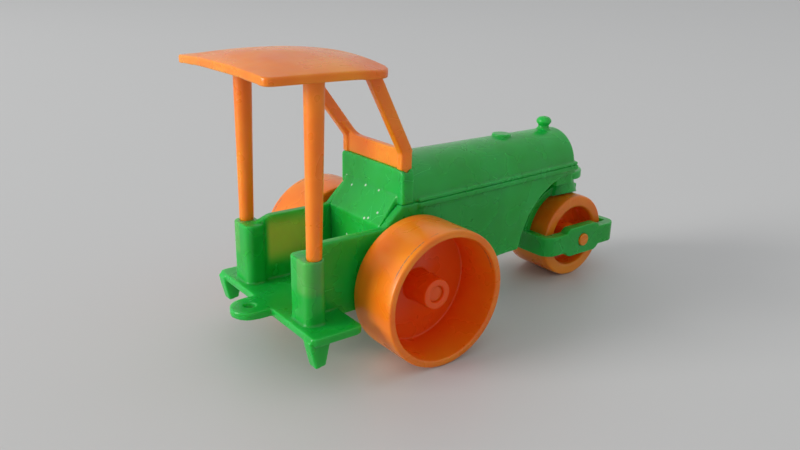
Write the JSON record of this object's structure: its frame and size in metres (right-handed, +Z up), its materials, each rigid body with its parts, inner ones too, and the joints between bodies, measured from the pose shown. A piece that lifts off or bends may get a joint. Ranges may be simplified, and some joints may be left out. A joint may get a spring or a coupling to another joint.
{
  "type": "toy road roller",
  "caption": "Small moulded toy road roller with a tapered hood, open cab under a roof on posts, wide cup-shaped rear wheels and a steering front roller in a yoke.",
  "frame": {"origin": "on the ground, under the middle of the whole length and width", "axes": "+X forward to the front roller, +Y to the left of the machine, +Z up"},
  "size_m": [0.074, 0.0344, 0.0428],
  "materials": {
    "green_plastic": "translucent waxy emerald green plastic, moulded, satin gloss",
    "orange_plastic": "translucent waxy orange plastic, moulded, satin gloss"
  },
  "bodies": {
    "roller_body": {"chassis": "green_plastic", "hood": "green_plastic", "canopy": "orange_plastic"},
    "front_yoke": {"front_yoke": "green_plastic"},
    "front_roller": {"front_roller": "orange_plastic", "front_axle": "orange_plastic"},
    "rear_axle": {"rear_axle": "orange_plastic", "rear_wheel_left": "orange_plastic", "rear_wheel_right": "orange_plastic"}
  },
  "joints": [
    {"name": "steering", "type": "hinge", "parent": "roller_body", "child": "front_yoke", "pos_m": [0.02772, 0, 0.0185], "axis": [0, 0, 1], "range_deg": [-25, 25]},
    {"name": "front_roller_spin", "type": "hinge", "parent": "front_yoke", "child": "front_roller", "pos_m": [0.02772, 0, 0.00745], "axis": [0, 1, 0], "continuous": true},
    {"name": "rear_axle_spin", "type": "hinge", "parent": "roller_body", "child": "rear_axle", "pos_m": [-0.01277, 0, 0.01], "axis": [0, 1, 0], "continuous": true}
  ]
}
